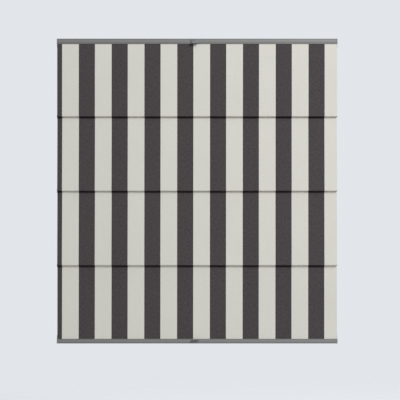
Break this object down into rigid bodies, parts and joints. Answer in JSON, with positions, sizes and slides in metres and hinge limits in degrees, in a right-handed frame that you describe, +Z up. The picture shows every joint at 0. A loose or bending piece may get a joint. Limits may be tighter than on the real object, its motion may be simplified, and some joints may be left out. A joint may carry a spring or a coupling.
{
  "type": "roman blind",
  "caption": "Striped roman blind with a slim rail at top and bottom, held in a window by taut cords; either rail slides by a small handle and gathers the cloth in soft folds.",
  "frame": {"origin": "midway between the two top screw holes, on the top mounting face", "axes": "+X across the window to the right seen from the room, +Y into the window, +Z up"},
  "size_m": [0.9, 0.031, 0.979],
  "materials": {
    "cloth": "woven, matt",
    "cord": "braided",
    "shoe_plastic": "moulded",
    "strip_plastic": "extruded",
    "cap_plastic": "moulded",
    "handle_plastic": "moulded",
    "spring_steel": "bright",
    "rod_metal": "drawn",
    "rail_paint": "satin grey"
  },
  "bodies": {
    "window_fixings": {"top_left_shoe": "shoe_plastic", "top_right_shoe": "shoe_plastic", "bottom_left_shoe": "shoe_plastic", "bottom_right_shoe": "shoe_plastic", "left_tension_cord": "cord", "right_tension_cord": "cord", "fabric": "cloth", "middle_rod": "rod_metal", "middle_left_guide": "cap_plastic", "middle_right_guide": "cap_plastic"},
    "upper_fold": {"upper_rod": "rod_metal", "upper_left_guide": "cap_plastic", "upper_right_guide": "cap_plastic"},
    "top_rail_assembly": {"top_rail": "rail_paint", "top_left_cap": "cap_plastic", "top_right_cap": "cap_plastic", "top_cloth_strip": "strip_plastic", "top_handle": "handle_plastic", "top_cross_cords": "cord"},
    "lower_fold": {"lower_rod": "rod_metal", "lower_left_guide": "cap_plastic", "lower_right_guide": "cap_plastic"},
    "bottom_rail_assembly": {"bottom_rail": "rail_paint", "bottom_left_cap": "cap_plastic", "bottom_right_cap": "cap_plastic", "bottom_cloth_strip": "strip_plastic", "bottom_handle": "handle_plastic", "bottom_cross_cords": "cord", "bottom_springs": "spring_steel"}
  },
  "joints": [
    {"name": "upper_fold_slide", "type": "slide", "parent": "window_fixings", "child": "upper_fold", "axis": [0, 0, -1], "range_m": [0, 0.205], "deforming": ["fabric"]},
    {"name": "top_rail_slide", "type": "slide", "parent": "upper_fold", "child": "top_rail_assembly", "axis": [0, 0, -1], "range_m": [0, 0.205], "deforming": ["fabric"]},
    {"name": "lower_fold_slide", "type": "slide", "parent": "window_fixings", "child": "lower_fold", "axis": [0, 0, 1], "range_m": [0, 0.205], "deforming": ["fabric"]},
    {"name": "bottom_rail_slide", "type": "slide", "parent": "lower_fold", "child": "bottom_rail_assembly", "axis": [0, 0, 1], "range_m": [0, 0.205], "deforming": ["fabric"]}
  ],
  "couplings": [
    {"joint": "top_rail_slide", "follows": "upper_fold_slide", "ratio": 1},
    {"joint": "bottom_rail_slide", "follows": "lower_fold_slide", "ratio": 1}
  ]
}
